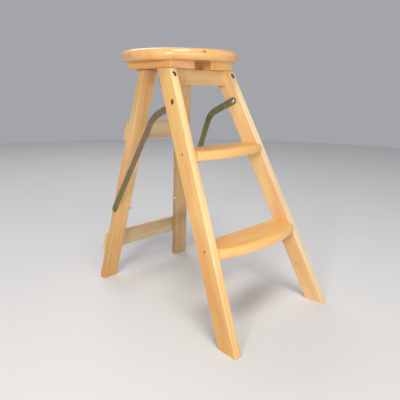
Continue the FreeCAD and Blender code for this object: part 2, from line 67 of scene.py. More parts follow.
# outer side = top half width + splay times the distance down the frame
def frameSide(sizes, down):
    return sizes["half"] + sizes["splay"] * down


# axes of a frame: along its uprights on one side, across them, and out of its face
def frameAxes(sizes, side):
    lean = math.radians(sizes["lean"])
    along = Vector((side * sizes["splay"], sizes["way"] * math.sin(lean), -math.cos(lean)))
    out = Vector((0, sizes["way"] * math.cos(lean), math.sin(lean)))
    along.normalize()
    return along, out.cross(along).normalized(), out


# Shader nodes
# one output socket of a node; arithmetic on it makes Math or Vector Math nodes
class Shade:
    def __init__(self, tree, socket):
        self.tree = tree
        self.socket = socket

    # any node: its settings are attributes, its inputs are numbers, colours or other sockets
    def node(self, kind, settings=None, inputs=None, output=0):
        made = self.tree.nodes.new(kind)
        for name, value in (settings or {}).items():
            setattr(made, name, value)
        for key, value in (inputs or {}).items():
            if isinstance(value, Shade):
                self.tree.links.new(value.socket, made.inputs[key])
            else:
                made.inputs[key].default_value = value
        return Shade(self.tree, made.outputs[output])

    # one arithmetic step: vectors and colours go through Vector Math, numbers through Math
    def step(self, operation, first, second):
        wide = False
        for value in (first, second):
            if isinstance(value, Shade):
                wide = wide or value.socket.type in ("VECTOR", "RGBA")
            else:
                wide = wide or isinstance(value, (tuple, list))
        kind = "ShaderNodeVectorMath" if wide else "ShaderNodeMath"
        values = {}
        for place, value in enumerate((first, second)):
            if wide and isinstance(value, (int, float)):
                value = (value, value, value)
            values[place] = value
        return self.node(kind, {"operation": operation}, values)

    # sums, differences, products and quotients with sockets, numbers or triples
    def __add__(self, other):
        return self.step("ADD", self, other)

    def __radd__(self, other):
        return self.step("ADD", other, self)

    def __sub__(self, other):
        return self.step("SUBTRACT", self, other)

    def __rsub__(self, other):
        return self.step("SUBTRACT", other, self)

    def __mul__(self, other):
        return self.step("MULTIPLY", self, other)

    def __truediv__(self, other):
        return self.step("DIVIDE", self, other)

    # a number between 0 and 1, rising smoothly from low to high
    def ramp(self, low, high):
        return self.node("ShaderNodeMapRange", {"interpolation_type": "SMOOTHSTEP"},
                         {"Value": self, "From Min": low, "From Max": high})

    # one Math step without a second input
    def math(self, operation):
        return self.node("ShaderNodeMath", {"operation": operation}, {0: self})

    # the projection of a vector on a direction
    def dot(self, direction):
        return self.node("ShaderNodeVectorMath", {"operation": "DOT_PRODUCT"},
                         {0: self, 1: tuple(direction)}, 1)

    # noise from 0 to 1 at this vector * scale + shift
    def noise(self, sizes):
        place = self * sizes["scale"]
        if "shift" in sizes:
            place = place + sizes["shift"]
        return place.node("ShaderNodeTexNoise", {},
                          {"Vector": place, "Scale": 1.0, "Detail": sizes["detail"],
                           "Roughness": sizes.get("roughness", 0.5)})

    # this number picks between two colours
    def mixColours(self, first, second):
        colours = [value if isinstance(value, Shade) else (*value, 1) for value in (first, second)]
        return self.node("ShaderNodeMix", {"data_type": "RGBA"},
                         {"Factor": self, 6: colours[0], 7: colours[1]}, 2)


# a new node material: returns it, its object coordinates and a function that fills its shader
def newMaterial(name):
    material = bpy.data.materials.new(name)
    material.use_nodes = True
    tree = material.node_tree
    shader = tree.nodes["Principled BSDF"]
    start = tree.nodes.new("ShaderNodeTexCoord")
    place = Shade(tree, start.outputs["Object"])

    # links a varying value and sets a constant one
    def fill(values):
        for key, value in values.items():
            if isinstance(value, Shade):
                tree.links.new(value.socket, shader.inputs[key])
            else:
                shader.inputs[key].default_value = value

    return material, place, fill


softEdges = {"samples": 6, "mask": (0.01, 0.16)}


# soft edges: the normal of an edge rounded by this radius, and a mask that is 1 along the edge;
# mask = smooth step of 1 - rounded normal . true normal
def softEdge(place, radius):
    rounded = place.node("ShaderNodeBevel", {"samples": softEdges["samples"]}, {"Radius": radius})
    plain = place.node("ShaderNodeNewGeometry", {}, {}, 1)
    same = place.node("ShaderNodeVectorMath", {"operation": "DOT_PRODUCT"},
                      {0: rounded, 1: plain}, 1)
    return rounded, (1 - same).ramp(*softEdges["mask"])


# tones, then the rings, how much each thing shows, and the surface
wood = {
    "early": (0.84, 0.530, 0.212),
    "late": (0.66, 0.345, 0.105),
    "rose": (0.80, 0.425, 0.170),
    "straw": (0.86, 0.605, 0.270),
    "worn": (0.90, 0.70, 0.40),
    "knotEdge": (0.30, 0.115, 0.035),
    "knotHeart": (0.42, 0.19, 0.07),
    "ringWidth": 0.0052, "ringSway": 2.6, "lateRange": (0.40, 0.92),
    "pithDepth": 0.070, "pithSway": 0.034, "pithStep": 0.012, "seedStep": 0.37, "staveStep": 3.0,
    "knotRagged": 0.5, "knotBend": 1.6, "knotReach": (0.6, 3.2), "knotRange": (0.8, 1.35),
    "knotTone": (0.2, 1.0),
    "ringContrast": 0.42, "lateShare": 0.55, "lateSwing": 0.9, "fibreContrast": 0.15,
    "broadContrast": 0.14, "ductContrast": 0.05, "staveContrast": 0.10, "light": 0.90,
    "roseRange": (0.30, 0.60), "strawRange": (0.46, 0.68), "strawShare": 0.8,
    "ductRange": (0.63, 0.78), "seamWidth": 0.006, "seamContrast": 0.25,
    "edge": 0.0013, "wornShare": 0.25, "wornSwing": 0.4,
    "roughness": 0.34, "fibreRough": 0.10, "lateRough": 0.05, "varnishRough": 0.13, "shine": 0.34,
    "fibreHeight": 0.5, "lateHeight": 0.25, "ductHeight": 0.3, "bump": 0.35, "bumpDepth": 0.00012,
}
# noise along, across and out of a piece of wood
grain = {
    "slow": {"scale": (1.6, 9.0, 9.0), "detail": 3.0},
    "wander": {"scale": (3.1, 12.0, 12.0), "detail": 2.0},
    "fibre": {"scale": (26.0, 820.0, 820.0), "detail": 3.0, "roughness": 0.65},
    "ducts": {"scale": (60.0, 2400.0, 2400.0), "detail": 1.0},
    "broad": {"scale": (4.0, 26.0, 26.0), "detail": 3.0},
    "rose": {"scale": (6.0, 34.0, 34.0), "shift": (3.7, 1.3, 8.1), "detail": 2.0},
    "knot": {"scale": 420.0, "detail": 2.0},
}
levelAxes = ((1, 0, 0), (0, 1, 0), (0, 0, 1))
cleatAxes = ((0, 1, 0), (1, 0, 0), (0, 0, 1))


# wood: growth rings round a pith that runs along the piece, with fibres, broad tone changes,
# paler edges that are partly wear and partly a painted highlight, and a clear varnish.
# Ring = distance from the pith / ring width + slow noise.
# Staves are glued strips of this width, each with its own shift and light.
# A knot is (x, y, z, radius, strength); the rings bend round it and it darkens at its edge.
# A face is (direction, level, softness, tint): the tint takes over where the surface reaches it;
# it is painted light on lit faces and painted shade on shaded ones.
# A foot is (low, high, tint): below high the tint grows in, down to low, as painted shade
# towards the floor.
def makeWood(name, axes, seed, tint, staves=0.0, knots=(), plain=1.0, varnish=0.35, face=None,
             foot=None):
    material, place, fill = newMaterial(name)
    length, side, depth = [place.dot(axis) for axis in axes]
    shift = seed * wood["seedStep"]
    if staves:
        stave = (side / staves).math("FLOOR")
        chance = stave.node("ShaderNodeTexWhiteNoise", {"noise_dimensions": "1D"}, {"W": stave})
        shift = chance * wood["staveStep"] + shift
    spot = place.node("ShaderNodeCombineXYZ", {},
                      {"X": length + shift, "Y": side, "Z": depth + shift})
    slow, wander, fibre, broad, rose = [
        spot.noise(grain[kind]) for kind in ("slow", "wander", "fibre", "broad", "rose")]
    ducts = spot.noise(grain["ducts"]).ramp(*wood["ductRange"])

    pithSide = side + (wander - 0.5) * wood["pithSway"] + (seed % 3 - 1) * wood["pithStep"]
    pithDepth = depth + wood["pithDepth"] + (slow - 0.5) * wood["pithSway"]
    radius = (pithSide * pithSide + pithDepth * pithDepth).math("SQRT")
    bend = 0.0
    hearts = []
    for x, y, z, size, strength in knots:
        away = place - (x, y, z)
        far = place.node("ShaderNodeVectorMath", {"operation": "LENGTH"}, {0: away}, 1) / size
        far = far + (place.noise(grain["knot"]) - 0.5) * wood["knotRagged"]
        hearts.append((far, strength))
        bend = bend + (1 - far.ramp(*wood["knotReach"])) * wood["knotBend"]
    ring = (radius / wood["ringWidth"] + slow * wood["ringSway"] + bend).math("FRACT")
    late = ring.ramp(*wood["lateRange"]) * (1 - ring.ramp(wood["lateRange"][1], 1.0))

    early = rose.ramp(*wood["roseRange"]).mixColours(wood["rose"], wood["early"])
    straw = broad.ramp(*wood["strawRange"]) * wood["strawShare"]
    early = straw.mixColours(early, wood["straw"])
    share = late * (wood["lateShare"] + (broad - 0.5) * wood["lateSwing"])
    colour = (share * (wood["ringContrast"] * plain)).mixColours(early, wood["late"])
    light = (wood["light"] + broad * wood["broadContrast"]
             + (fibre - 0.5) * (wood["fibreContrast"] * plain) - ducts * wood["ductContrast"])
    if staves:
        seam = (side / staves).math("FRACT").ramp(0.0, wood["seamWidth"])
        light = (light + (chance - 0.5) * wood["staveContrast"]
                 - (1 - seam) * wood["seamContrast"])
    colour = colour * light
    for far, strength in hearts:
        heart = far.ramp(*wood["knotTone"]).mixColours(wood["knotHeart"], wood["knotEdge"])
        colour = ((1 - far.ramp(*wood["knotRange"])) * strength).mixColours(colour, heart)
    # paler edges: partly wear, partly a painted highlight along the arrises
    rounded, edge = softEdge(place, wood["edge"])
    worn = edge * (wood["wornShare"] + broad * wood["wornSwing"])
    colour = worn.mixColours(colour, wood["worn"])
    # painted light and shade: one face of the piece takes its own tint
    if face:
        way, level, soft, faceLightTone = face
        tint = place.dot(way).ramp(level - soft, level).mixColours(tint, faceLightTone)
    colour = colour * tint
    # painted shade: darker towards the floor
    if foot:
        low, high, footShadeTone = foot
        colour = colour * place.dot((0, 0, 1)).ramp(low, high).mixColours(footShadeTone, (1, 1, 1))

    height = fibre * wood["fibreHeight"] + late * wood["lateHeight"] - ducts * wood["ductHeight"]
    bump = place.node("ShaderNodeBump", {}, {"Strength": wood["bump"],
                                             "Distance": wood["bumpDepth"],
                                             "Height": height, "Normal": rounded})
    roughness = wood["roughness"] + fibre * wood["fibreRough"] + late * wood["lateRough"]
    fill({"Base Color": colour, "Roughness": roughness, "Normal": bump, "Coat Weight": varnish,
          "Coat Roughness": wood["varnishRough"], "Specular IOR Level": wood["shine"]})
    return material


# a face for makeWood, whose tint is painted light on a lit face and painted shade on a shaded
# one: level = point . way - lift
def faceLightTint(way, point, tint, soft, lift=0.0):
    return way, Vector(point).dot(Vector(way)) - lift, soft, tint


metals = {
    # the left stay's brown above its green foot is a painted reflection of the wood round it
    "leftStayReflection": {"low": (0.235, 0.155, 0.090), "high": (0.325, 0.215, 0.130),
                 "worn": (0.20, 0.16, 0.095), "metallic": 0.45, "roughness": 0.40, "patch": 24.0,
                 "edge": 0.0006, "foot": (0.135, 0.190, 0.055), "from": 0.235, "to": 0.325},
    "rightStay": {"low": (0.145, 0.170, 0.062), "high": (0.245, 0.260, 0.110),
                  "worn": (0.200, 0.180, 0.095), "metallic": 0.45, "roughness": 0.40,
                  "patch": 24.0, "edge": 0.0006},
    "bright": {"low": (0.60, 0.60, 0.61), "high": (0.80, 0.80, 0.82),
               "worn": (0.42, 0.40, 0.37), "metallic": 1.0, "roughness": 0.20, "patch": 90.0,
               "edge": 0.0002},
    "dark": {"low": (0.080, 0.062, 0.048), "high": (0.210, 0.165, 0.120),
             "worn": (0.34, 0.23, 0.14), "metallic": 0.6, "roughness": 0.40, "patch": 160.0,
             "edge": 0.0002},
    "hinge": {"low": (0.36, 0.34, 0.31), "high": (0.56, 0.54, 0.50),
              "worn": (0.30, 0.24, 0.18), "metallic": 1.0, "roughness": 0.34, "patch": 60.0,
              "edge": 0.0003},
    "screw": {"low": (0.22, 0.13, 0.06), "high": (0.36, 0.23, 0.11),
              "worn": (0.12, 0.07, 0.04), "metallic": 0.35, "roughness": 0.42, "patch": 200.0,
              "edge": 0.0002},
}
metalLook = {
    "cloud": {"scale": 70.0, "detail": 4.0, "roughness": 0.6},
    "speck": {"scale": 2200.0, "detail": 2.0},
    "patch": {"shift": (1.7, 0.4, 2.2), "detail": 4.0, "roughness": 0.62},
    "cloudRange": (0.3, 0.7), "wornRange": (0.50, 0.68), "wornShare": 0.7,
    "footSway": 0.05, "footShare": 0.35, "edgeLight": 0.5,
    "cloudRough": 0.22, "speckRough": 0.12, "wornRough": 0.08, "bump": 0.2, "bumpDepth": 0.00004,
}


# metal: two tones mixed by cloudy noise, worn patches, edges rubbed paler, fine specks in
# roughness and bump. A foot colour takes over below a height: share = smooth step of z.
# On the left stay the brown above its green foot is a painted reflection of the wood.
def makeMetal(name, sizes):
    look = metalLook
    material, place, fill = newMaterial(name)
    cloud = place.noise(look["cloud"])
    speck = place.noise(look["speck"])
    worn = place.noise({**look["patch"], "scale": sizes["patch"]}).ramp(*look["wornRange"])
    tone = cloud.ramp(*look["cloudRange"])
    colour = tone.mixColours(sizes["low"], sizes["high"])
    if "foot" in sizes:
        height = place.dot((0, 0, 1)) + (cloud - 0.5) * look["footSway"]
        below = (tone * look["footShare"]).mixColours(sizes["foot"], sizes["high"])
        colour = height.ramp(sizes["from"], sizes["to"]).mixColours(below, colour)
    colour = (worn * look["wornShare"]).mixColours(colour, sizes["worn"])
    rounded, edge = softEdge(place, sizes["edge"])
    colour = colour * (1 + edge * look["edgeLight"])
    roughness = (sizes["roughness"] + (cloud - 0.5) * look["cloudRough"]
                 + (speck - 0.5) * look["speckRough"] + worn * look["wornRough"])
    bump = place.node("ShaderNodeBump", {}, {"Strength": look["bump"],
                                             "Distance": look["bumpDepth"],
                                             "Height": speck, "Normal": rounded})
    fill({"Base Color": colour, "Roughness": roughness, "Metallic": sizes["metallic"],
          "Normal": bump})
    return material


# Meshes
sharpAngle = 32


# closed surfaces from rows of points: sets[n, i, j] runs round j, and the first and last rows of
# each set are single points
def makeSurfaces(name, sets, material, body, replaced=()):
    amount, rows, around = sets.shape[:3]
    count = rows - 2
    points = np.concatenate([sets[:, 0, :1], sets[:, 1:-1].reshape(amount, -1, 3),
                             sets[:, -1, :1]], 1)
    j = np.arange(around)
    k = (j + 1) % around
    base = 1 + np.arange(count - 1)[:, None] * around
    quads = np.stack([base + j, base + k, base + around + k, base + around + j], -1)
    last = 1 + (count - 1) * around
    start = np.stack([np.zeros_like(j), 1 + k, 1 + j], -1)
    end = np.stack([np.full_like(j, last + around), last + j, last + k], -1)
    offset = np.arange(amount)[:, None, None] * points.shape[1]
    triangles = (np.concatenate([start, end])[None] + offset).reshape(-1, 3)
    quads = (quads.reshape(1, -1, 4) + offset).reshape(-1, 4)
    mesh = bpy.data.meshes.new(name)
    mesh.from_pydata(points.reshape(-1, 3).tolist(), [], triangles.tolist() + quads.tolist())
    mesh.update()
    finishPiece(name, mesh, material, body, replaced)


# one closed surface: a set of one for makeSurfaces
def makeSurface(name, rows, material, body, replaced=()):
    makeSurfaces(name, rows[None], material, body, replaced)


# puts a mesh in the scene with outward faces (volume = sum of corner a . (b x c) is above 0) and
# smooth shading that breaks at sharp edges
def finishPiece(name, mesh, material, body, replaced):
    mesh.calc_loop_triangles()
    corners = np.empty(len(mesh.loop_triangles) * 3, np.int32)
    mesh.loop_triangles.foreach_get("vertices", corners)
    corners = corners.reshape(-1, 3)
    points = np.empty(len(mesh.vertices) * 3)
    mesh.vertices.foreach_get("co", points)
    points = points.reshape(-1, 3)
    if (points[corners[:, 0]] * np.cross(points[corners[:, 1]], points[corners[:, 2]])).sum() < 0:
        mesh.flip_normals()
    mesh.polygons.foreach_set("use_smooth", np.ones(len(mesh.polygons), bool))
    mesh.set_sharp_from_angle(angle=math.radians(sharpAngle))
    mesh.materials.append(material)
    piece = bpy.data.objects.new(name, mesh)
    scene.collection.objects.link(piece)
    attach(piece, body)
    if replaced:
        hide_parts(*replaced)


# rounds the corners of polygons: each row of corners becomes a closed loop, every corner an arc
# that touches both sides, at radius / tan(half angle) from the corner
def roundLoops(corners, radii, steps):
    before = np.roll(corners, 1, 1) - corners
    after = np.roll(corners, -1, 1) - corners
    before = before / np.linalg.norm(before, axis=-1, keepdims=True)
    after = after / np.linalg.norm(after, axis=-1, keepdims=True)
    half = np.arccos(np.clip((before * after).sum(-1), -1, 1)) / 2
    radii = np.asarray(radii)
    middle = (before + after) / np.linalg.norm(before + after, axis=-1, keepdims=True)
    centre = corners + middle * (radii / np.sin(half))[..., None]
    reach = (radii / np.tan(half))[..., None]
    first = corners + before * reach - centre
    last = corners + after * reach - centre
    turn = np.pi - 2 * half
    t = np.linspace(0, 1, steps)
    low = np.sin((1 - t) * turn[..., None])[..., None] * first[..., None, :]
    high = np.sin(t * turn[..., None])[..., None] * last[..., None, :]
    arc = (low + high) / np.sin(turn)[..., None, None] + centre[..., None, :]
    return arc.reshape(corners.shape[0], -1, 2)


# two directions square to each axis and to each other; the axes are rows or one row
def crossAxes(axis):
    upright = np.abs(axis[..., 2:]) >= 0.9
    side = np.cross(axis, np.where(upright, (0.0, 1.0, 0.0), (0.0, 0.0, 1.0)))
    side = side / np.linalg.norm(side, axis=-1, keepdims=True)
    return side, np.cross(axis, side)


# turns a profile of (distance, radius) about an axis; a radius is one number or one for each step
# round, and the profile ends at radius 0
def turnedRows(origin, axis, profile, around):
    axis = np.array(Vector(axis).normalized())
    side, other = crossAxes(axis)
    turn = np.linspace(0, 2 * np.pi, around, endpoint=False)
    ring = np.cos(turn)[:, None] * side + np.sin(turn)[:, None] * other
    distance = np.array([place for place, radius in profile])
    radii = np.array([np.broadcast_to(radius, around) for place, radius in profile])
    return np.array(origin) + distance[:, None, None] * axis + radii[..., None] * ring


seat = {"radius": 0.1498, "rim": 0.0128, "around": 192, "rimSteps": 22,
        "rings": (0.25, 0.5, 0.75, 0.93), "stave": 0.056, "plain": 0.8, "varnish": 0.85,
        "seed": 5, "tint": (0.92, 0.80, 0.67),
        # the darker tint on the seat's underside is painted shade
        "underShadeTint": (0.74, 0.60, 0.45), "underSoft": 0.0012, "underLift": 0.0002,
        "knots": ((-0.0519, -0.1400, 0.0078, 0.0026, 1.0), (-0.0545, -0.1388, 0.0074, 0.0024, 1.0),
                  (-0.045, 0.060, 0.0, 0.004, 0.6))}


# seat board: a profile of (radius, height) turned about the vertical: flat faces joined by a
# half-round rim
def makeSeat():
    top, low = seatHigh.z, seatLow.z
    middle = (top + low) / 2
    half = (top - low) / 2
    flat = seat["radius"] - seat["rim"]
    angle = np.linspace(-np.pi / 2, np.pi / 2, seat["rimSteps"])
    rimRadius = flat + seat["rim"] * np.cos(angle)
    rimHeight = middle + half * np.sin(angle)
    inner = np.array(seat["rings"]) * flat
    radius = np.concatenate([[0], inner, rimRadius, inner[::-1], [0]])
    height = np.concatenate([[low], 0 * inner + low, rimHeight, 0 * inner + top, [top]])
    turn = np.linspace(0, 2 * np.pi, seat["around"], endpoint=False)
    rows = np.stack([radius[:, None] * np.cos(turn), seatY + radius[:, None] * np.sin(turn),
                     np.repeat(height[:, None], seat["around"], 1)], -1)
    knots = [(x, seatY + y, top - down, size, strength)
             for x, y, down, size, strength in seat["knots"]]
    # painted shade: the seat's underside is tinted darker
    face = faceLightTint((0, 0, -1), seatLow, seat["underShadeTint"], seat["underSoft"], seat["underLift"])
    material = makeWood("seatWood", levelAxes, seat["seed"], seat["tint"], seat["stave"], knots,
                        seat["plain"], seat["varnish"], face)
    makeSurface("seatBoard", rows, material, "seat", ("seat_top",))
    print("seat board made")


tread = {"thickness": 0.022, "bow": 0.420, "noseRadius": 0.009, "underRadius": 0.0040,
         "backRadius": 0.0012, "columns": 97, "steps": 8, "seam": 0.00015, "plain": 0.45,
         # the top face's own tint is painted light
         "varnish": 0.22, "topLightTint": (1.06, 0.955, 0.73), "topSoft": 0.0054}


# a rail's inner face: half - rail width + splay * distance down, which follows from y and z
def railInside(y, z):
    lean = math.radians(frontFrame["lean"])
    down = (underside - z) * math.cos(lean) - (y - seatY + frontFrame["set"]) * math.sin(lean)
    return frontFrame["half"] - frontFrame["wide"] + frontFrame["splay"] * down


# tread: its section is carried from rail to rail. The front edge is one arc that starts at the
# rails' front corners: y = corner - sqrt(bow^2 - x^2) + sqrt(bow^2 - half width^2)
def makeTread(name, node, seed, tint):
    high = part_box(node)[1]
    top = high.z
    low = top - tread["thickness"]
    lean = math.radians(frontFrame["lean"])
    backTop = seatY - frontFrame["set"] - (underside - top) * math.tan(lean)
    backLow = seatY - frontFrame["set"] - (underside - low) * math.tan(lean)
    corner = backLow - frontFrame["deep"] / math.cos(lean)
    wide = railInside(corner, low)
    part = np.linspace(-1, 1, tread["columns"])
    across = part * wide
    front = corner - np.sqrt(tread["bow"] ** 2 - across ** 2)
    front += math.sqrt(tread["bow"] ** 2 - wide ** 2)
    ones = np.ones_like(front)
    corners = np.stack([np.stack([backTop * ones, top * ones], -1),
                        np.stack([backLow * ones, low * ones], -1),
                        np.stack([front, low * ones], -1),
                        np.stack([front, top * ones], -1)], 1)
    radii = [tread["backRadius"], tread["backRadius"], tread["underRadius"], tread["noseRadius"]]
    loops = roundLoops(corners, radii, tread["steps"])
    y, z = loops[..., 0], loops[..., 1]
    x = part[:, None] * (railInside(y, z) - tread["seam"])
    rows = np.stack([x, y, z], -1)
    ends = [np.repeat(rows[i].mean(0)[None, None], rows.shape[1], 1) for i in (0, -1)]
    rows = np.concatenate([ends[0], rows, ends[1]])
    # painted light: the tread's top face gets its own tint
    topLightTint = tuple(np.array(tint) * tread["topLightTint"])
    material = makeWood(name + "Wood", levelAxes, seed, tint, plain=tread["plain"],
                        varnish=tread["varnish"],
                        face=faceLightTint((0, 0, 1), high, topLightTint, tread["topSoft"]))
    makeSurface(name, rows, material, "front_frame", (node,))
    print(name, "made")


stud = {"head": 0.0056, "shank": 0.003, "around": 40, "under": 0.0025, "short": 0.0009,
        "domeSteps": 9, "domeEdge": 0.18, "flatSteps": 6, "flatEdge": 0.0008}


# the rows from a shank's end to the rim under its head
def shankRows(start, under):
    return [(start, 0), (start, stud["shank"]), (under, stud["shank"]), (under, stud["head"])]


# domed head on a shank: the dome is a quarter ellipse above a thin straight edge
def domeProfile(start, under, tip):
    angle = np.linspace(0, np.pi / 2, stud["domeSteps"])
    edge = (tip - under) * stud["domeEdge"]
    distance = under + edge + (tip - under - edge) * np.sin(angle)
    return shankRows(start, under) + list(zip(distance, stud["head"] * np.cos(angle)))


# flat head on a shank: its edge is a quarter circle
def flatProfile(start, under, tip):
    angle = np.linspace(0, np.pi / 2, stud["flatSteps"])
    soft = stud["flatEdge"]
    edge = zip(tip - soft + soft * np.sin(angle), stud["head"] - soft + soft * np.cos(angle))
    return shankRows(start, under) + list(edge) + [(tip, 0)]


# flat studs at the stays' lower ends and domed bolt heads inside the rails, at the places and
# sizes of the CAD nodes that they replace
def makeStuds(bright, stay):
    for name, side in sides:
        low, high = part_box(name + "_stay_rivet")
        origin = (0, (low.y + high.y) / 2, (low.z + high.z) / 2)
        start, tip = sorted((abs(low.x), abs(high.x)))
        profile = flatProfile(start, tip - stud["under"], tip - stud["short"])
        makeSurface(name + "StayStud", turnedRows(origin, (side, 0, 0), profile, stud["around"]),
                    stay[side], name + "_stay", (name + "_stay_rivet",))
    low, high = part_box("stay_bolts")
    origin = (0, (low.y + high.y) / 2, (low.z + high.z) / 2)
    points = np.array([vertex.co for vertex in nodes["stay_bolts"].data.vertices])
    tip = np.abs(points[:, 0]).min()
    profile = domeProfile(high.x, tip + stud["under"], tip)
    for name, side in sides:
        makeSurface(name + "StayBolt", turnedRows(origin, (side, 0, 0), profile, stud["around"]),
                    bright, "front_frame", ("stay_bolts",) if side > 0 else ())
    print("stay studs made")


nut = {"flat": 0.0048, "corner": 0.0054, "thickness": 0.004, "chamfer": 0.0007, "around": 48,
       "bolt": 0.003, "boltBack": 0.0006, "bore": 1.12, "boreFoot": 1.06, "boreDepth": 0.0012,
       "tipEdge": 0.7, "tipRise": 0.6, "tipTop": 0.5}
legNut = {"flat": 0.0046, "corner": 0.0052, "chamfer": 0.0005, "around": 48, "bolt": 0.0027,
          "height": 0.0038, "sunk": 0.0004, "cap": 0.0075, "threadFrom": 0.0006, "pitch": 0.0005,
          "threadDepth": 0.0002, "tip": 0.0004, "tipShare": 0.8, "down": 0.376, "depth": 0.009}


# hexagonal nut: radius = flat / cos(angle from the nearest flat), no more than the corner circle,
# and no more than the flat at the face
def hexRows(sizes, start, end):
    turn = np.linspace(0, 2 * np.pi, sizes["around"], endpoint=False)
    sixth = np.pi / 3
    away = (turn % sixth) - sixth / 2
    hexagon = np.minimum(sizes["flat"] / np.cos(away), sizes["corner"])
    face = np.minimum(hexagon, sizes["flat"])
    return [(start, 0), (start, hexagon), (end - sizes["chamfer"], hexagon), (end, face)]


# a bolt's end that stays inside its nut: down the nut's bore, then up the bolt's soft end
def sunkEnd(sizes, end):
    bolt = sizes["bolt"]
    back = sizes["boltBack"]
    return [(end, bolt * sizes["bore"]), (end - sizes["boreDepth"], bolt * sizes["boreFoot"]),
            (end - back, bolt), (end - back * sizes["tipRise"], bolt * sizes["tipEdge"]),
            (end - back * sizes["tipTop"], 0)]


# a threaded end that stands out of its nut: crests and roots take turns along it
def threadedEnd(sizes, end):
    bolt = sizes["bolt"]
    tip = sizes["cap"] - sizes["tip"]
    steps = np.arange(sizes["threadFrom"], tip, sizes["pitch"])
    radii = bolt - sizes["threadDepth"] * (np.arange(len(steps)) % 2)
    return [(end, bolt), *zip(end + steps, radii), (end + tip, bolt),
            (end + sizes["cap"], bolt * sizes["tipShare"]), (end + sizes["cap"], 0)]


# the stay bolts' nuts in the rails' outer recesses, and a nut with a threaded end on the inner
# side of each rear leg, square to it; the leg's inner side lies wide / sqrt(1 + splay^2) in
def makeNuts(dark, bright):
    low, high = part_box("stay_bolt_nuts")
    origin = (0, (low.y + high.y) / 2, (low.z + high.z) / 2)
    outer = high.x
    profile = hexRows(nut, outer - nut["thickness"], outer) + sunkEnd(nut, outer)
    inside = rearFrame["wide"] / math.hypot(1, rearFrame["splay"])
    face = inside + legNut["height"]
    legProfile = hexRows(legNut, inside - legNut["sunk"], face) + threadedEnd(legNut, face)
    for name, side in sides:
        makeSurface(name + "StayNut", turnedRows(origin, (side, 0, 0), profile, nut["around"]),
                    dark, "front_frame", ("stay_bolt_nuts",) if side > 0 else ())
        place = framePoint(rearFrame, side * frameSide(rearFrame, legNut["down"]),
                           legNut["down"], legNut["depth"])
        square = (-side, 0, -rearFrame["splay"])
        makeSurface(name + "LegNut", turnedRows(place, square, legProfile, legNut["around"]),
                    bright, "rear_frame")
    print("nuts made")


screw = {"height": 0.20, "curve": 0.75, "recess": 0.15, "arm": 0.62, "armWidth": 0.13,
         "around": 40, "rings": 10, "spread": 0.8, "sunk": 0.15, "firstTurn": 0.7, "turn": 1.9}


# screw heads with a cross recess: height = dome - recess * cross, over a polar grid on each head;
# every size is a share of the head's radius, and each head is turned on from the last
def makeScrews(name, places, radius, material, body):
    centre = np.array([list(point) for point, facing in places])
    facing = np.array([list(Vector(way).normalized()) for point, way in places])
    first, second = crossAxes(facing)
    twist = screw["firstTurn"] + screw["turn"] * np.arange(len(places))
    turn = np.linspace(0, 2 * np.pi, screw["around"], endpoint=False)
    part = np.linspace(0, 1, screw["rings"]) ** screw["spread"]
    part = np.concatenate([part, [1.0, 0.0]])
    x = part[:, None] * np.cos(turn)
    y = part[:, None] * np.sin(turn)
    dome = np.sqrt(1 - screw["curve"] * part ** 2)
    armA = (np.abs(x) < screw["armWidth"]) & (np.abs(y) < screw["arm"])
    armB = (np.abs(y) < screw["armWidth"]) & (np.abs(x) < screw["arm"])
    height = screw["height"] * dome[:, None] - screw["recess"] * (armA | armB)
    height[-2:] = -screw["sunk"]
    cosine, sine = np.cos(twist)[:, None, None], np.sin(twist)[:, None, None]
    u = radius * (x * cosine - y * sine)
    v = radius * (x * sine + y * cosine)
    points = (centre[:, None, None] + u[..., None] * first[:, None, None]
              + v[..., None] * second[:, None, None]
              + radius * height[None, ..., None] * facing[:, None, None])
    makeSurfaces(name, points, material, body)


hingeBolt = {"down": 0.037, "recess": 0.009, "around": 40, "head": 0.0043, "proud": 0.0072,
             "dome": 0.38, "domeSteps": 8, "sunk": 0.0001}
# a dark cup that lines each recess: painted shade
shadeCup = {"radius": 0.0060, "thickness": 0.0012, "sunk": 0.0002, "height": 0.0080, "lip": 0.0002,
          "lipWidth": 0.0003, "wall": 0.0011, "floorRise": 0.0002, "hole": 0.9}


# hinge bolts in the rails' front recesses: a bright domed head over a dark cup that lines each
# recess as painted shade; dome height = proud * (1 - dome + dome * sin(angle))
def makeHingeBolts(bright, dark):
    angle = np.linspace(0, np.pi / 2, hingeBolt["domeSteps"])
    rise = 1 - hingeBolt["dome"] + hingeBolt["dome"] * np.sin(angle)
    start = -hingeBolt["sunk"]
    profile = [(start, 0), (start, hingeBolt["head"]),
               *zip(hingeBolt["proud"] * rise, hingeBolt["head"] * np.cos(angle))]
    rim, thick, top = shadeCup["radius"], shadeCup["thickness"], shadeCup["height"]
    cup = [(-shadeCup["sunk"], 0), (-shadeCup["sunk"], rim), (top - shadeCup["lip"], rim),
           (top, rim - shadeCup["lipWidth"]), (thick + shadeCup["floorRise"], rim - shadeCup["wall"]),
           (thick, hingeBolt["head"] * shadeCup["hole"]), (thick, 0)]
    for name, side in sides:
        out = frameAxes(frontFrame, side)[2]
        x = side * (frameSide(frontFrame, hingeBolt["down"]) - frontFrame["wide"] / 2)
        floor = framePoint(frontFrame, x, hingeBolt["down"],
                           frontFrame["deep"] - hingeBolt["recess"])
        makeSurface(name + "HingeBolt", turnedRows(floor, out, profile, hingeBolt["around"]),
                    bright, "front_frame")
        makeSurface(name + "HingeShadeCup", turnedRows(floor, out, cup, hingeBolt["around"]),
                    dark, "front_frame")
    print("hinge bolts made")


